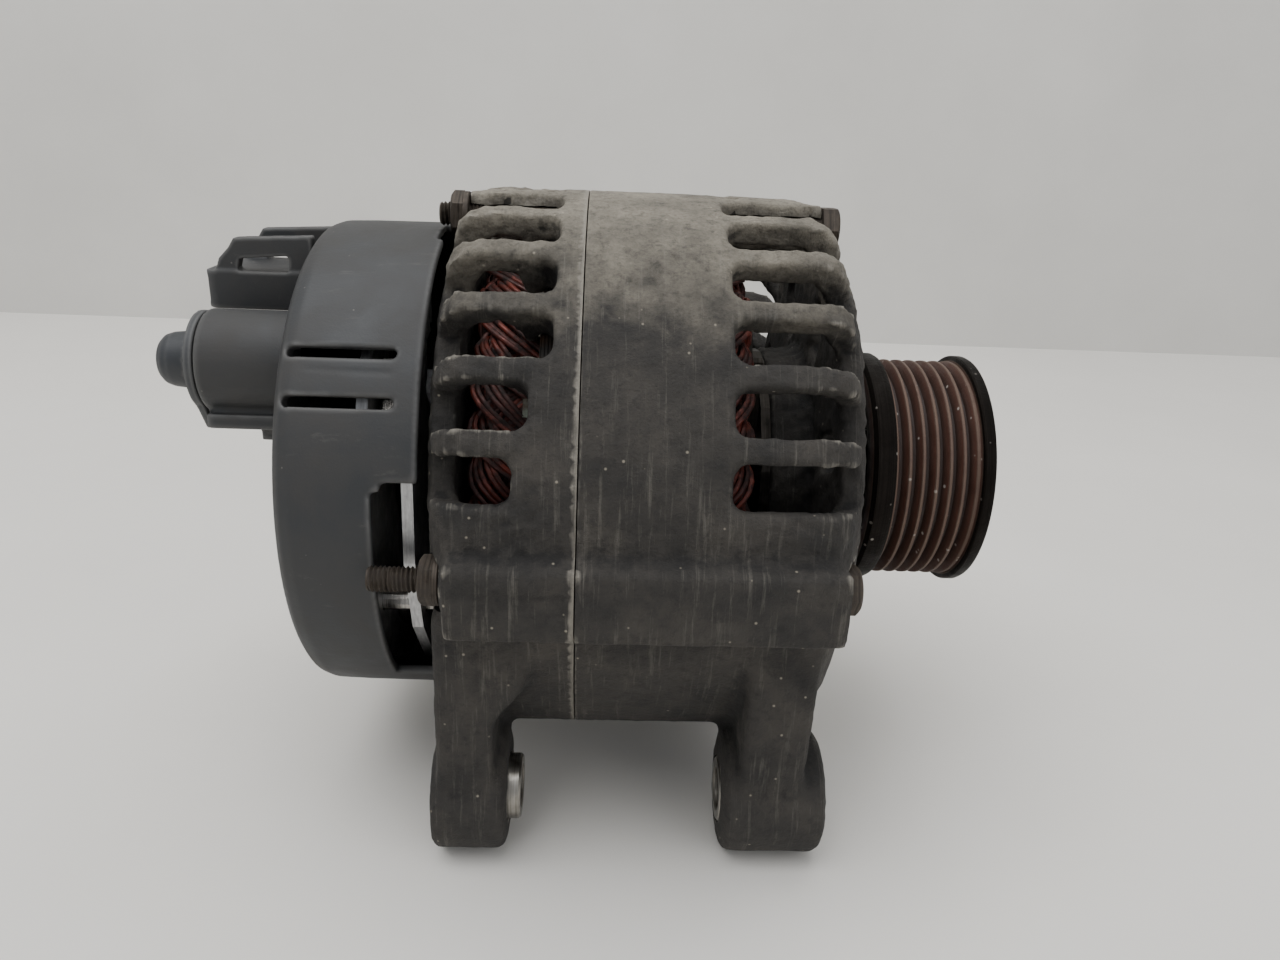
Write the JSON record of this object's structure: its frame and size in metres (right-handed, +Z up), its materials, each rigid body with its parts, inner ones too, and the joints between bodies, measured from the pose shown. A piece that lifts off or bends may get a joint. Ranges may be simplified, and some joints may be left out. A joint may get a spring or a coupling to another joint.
{
  "type": "car alternator",
  "caption": "Belt-driven claw-pole car alternator: ribbed cast shells, grooved pulley, moulded rear cover with capped output stud and plug socket, ears with bushes.",
  "frame": {"origin": "on the ground under the middle of the bounding box, the ears' lowest lines at zero height", "axes": "+X along the rotor axis towards the pulley, +Y away from the saddle side that is bushed, +Z up"},
  "size_m": [0.2084, 0.1548, 0.1571],
  "materials": {
    "cast_shell": "sand-blasted casting under oily grime",
    "black_plastic": "moulded, glass-filled",
    "pulley_steel": "turned, blackened, rusty grooves",
    "black_steel": "forged or pressed, dark",
    "bright_steel": "machined",
    "lamination": "stacked sheet",
    "copper_wire": "enamelled, dusty",
    "heat_sink": "stamped plate",
    "carbon": "pressed graphite",
    "tinned_pin": "tinned"
  },
  "bodies": {
    "housing": {"front_housing": "cast_shell", "rear_housing": "cast_shell", "stator_core": "lamination", "stator_winding": "copper_wire", "bearing_retainer": "black_steel", "through_bolt_1": "black_steel", "through_bolt_2": "black_steel", "through_bolt_3": "black_steel", "through_bolt_4": "black_steel", "bolt_nut_1": "black_steel", "bolt_nut_2": "black_steel", "bolt_nut_3": "black_steel", "bolt_nut_4": "black_steel", "front_ear_bush": "bright_steel", "rear_cover": "black_plastic", "negative_heat_sink": "heat_sink", "positive_heat_sink": "heat_sink", "negative_diode_1": "bright_steel", "negative_diode_2": "bright_steel", "negative_diode_3": "bright_steel", "positive_diode_1": "bright_steel", "positive_diode_2": "bright_steel", "positive_diode_3": "bright_steel", "terminal_stud": "bright_steel", "terminal_nut": "bright_steel", "regulator": "black_plastic", "brush_holder": "black_plastic", "brush_spring_1": "bright_steel", "brush_spring_2": "bright_steel", "plug_socket": "black_plastic", "socket_pin_1": "tinned_pin", "socket_pin_2": "tinned_pin", "socket_pin_3": "tinned_pin", "cover_screw_1": "bright_steel", "cover_screw_2": "bright_steel", "cover_screw_3": "bright_steel", "front_bearing_outer_race": "bright_steel", "rear_bearing_outer_race": "bright_steel"},
    "rotor": {"rotor_shaft": "bright_steel", "front_claw_pole": "black_steel", "rear_claw_pole": "black_steel", "coil_bobbin": "black_plastic", "field_coil": "copper_wire", "front_fan": "black_steel", "rear_fan": "black_steel", "slip_ring_sleeve": "black_plastic", "slip_ring_inner": "copper_wire", "slip_ring_outer": "copper_wire", "front_bearing_inner_race": "bright_steel", "rear_bearing_inner_race": "bright_steel", "pulley": "pulley_steel", "spacer_collar": "bright_steel", "pulley_washer": "black_steel", "pulley_nut": "black_steel"},
    "front_balls": {"front_bearing_balls": "bright_steel"},
    "rear_balls": {"rear_bearing_balls": "bright_steel"},
    "brush_1": {"brush_1": "carbon"},
    "brush_2": {"brush_2": "carbon"},
    "rear_bush": {"rear_ear_bush": "bright_steel"},
    "terminal_cap": {"terminal_cap": "black_plastic"}
  },
  "joints": [
    {"name": "rotor_spin", "type": "hinge", "parent": "housing", "child": "rotor", "pos_m": [0.00507, 0, 0.08452], "axis": [1, 0, 0], "continuous": true},
    {"name": "front_balls_roll", "type": "hinge", "parent": "housing", "child": "front_balls", "pos_m": [0.05307, 0, 0.08452], "axis": [1, 0, 0], "continuous": true},
    {"name": "rear_balls_roll", "type": "hinge", "parent": "housing", "child": "rear_balls", "pos_m": [-0.03783, 0, 0.08452], "axis": [1, 0, 0], "continuous": true},
    {"name": "brush_1_slide", "type": "slide", "parent": "housing", "child": "brush_1", "axis": [0, 0, 1], "range_m": [0, 0.004], "stiffness_N_per_m": 250, "springref_m": -0.006, "deforming": ["brush_spring_1"]},
    {"name": "brush_2_slide", "type": "slide", "parent": "housing", "child": "brush_2", "axis": [0, 0, 1], "range_m": [0, 0.004], "stiffness_N_per_m": 250, "springref_m": -0.006, "deforming": ["brush_spring_2"]},
    {"name": "rear_bush_slide", "type": "slide", "parent": "housing", "child": "rear_bush", "axis": [1, 0, 0], "range_m": [-0.0025, 0]},
    {"name": "cap_pull", "type": "slide", "parent": "housing", "child": "terminal_cap", "axis": [-1, 0, 0], "range_m": [0, 0.02]}
  ],
  "couplings": [
    {"joint": "front_balls_roll", "follows": "rotor_spin", "ratio": 0.39062},
    {"joint": "rear_balls_roll", "follows": "rotor_spin", "ratio": 0.396}
  ]
}
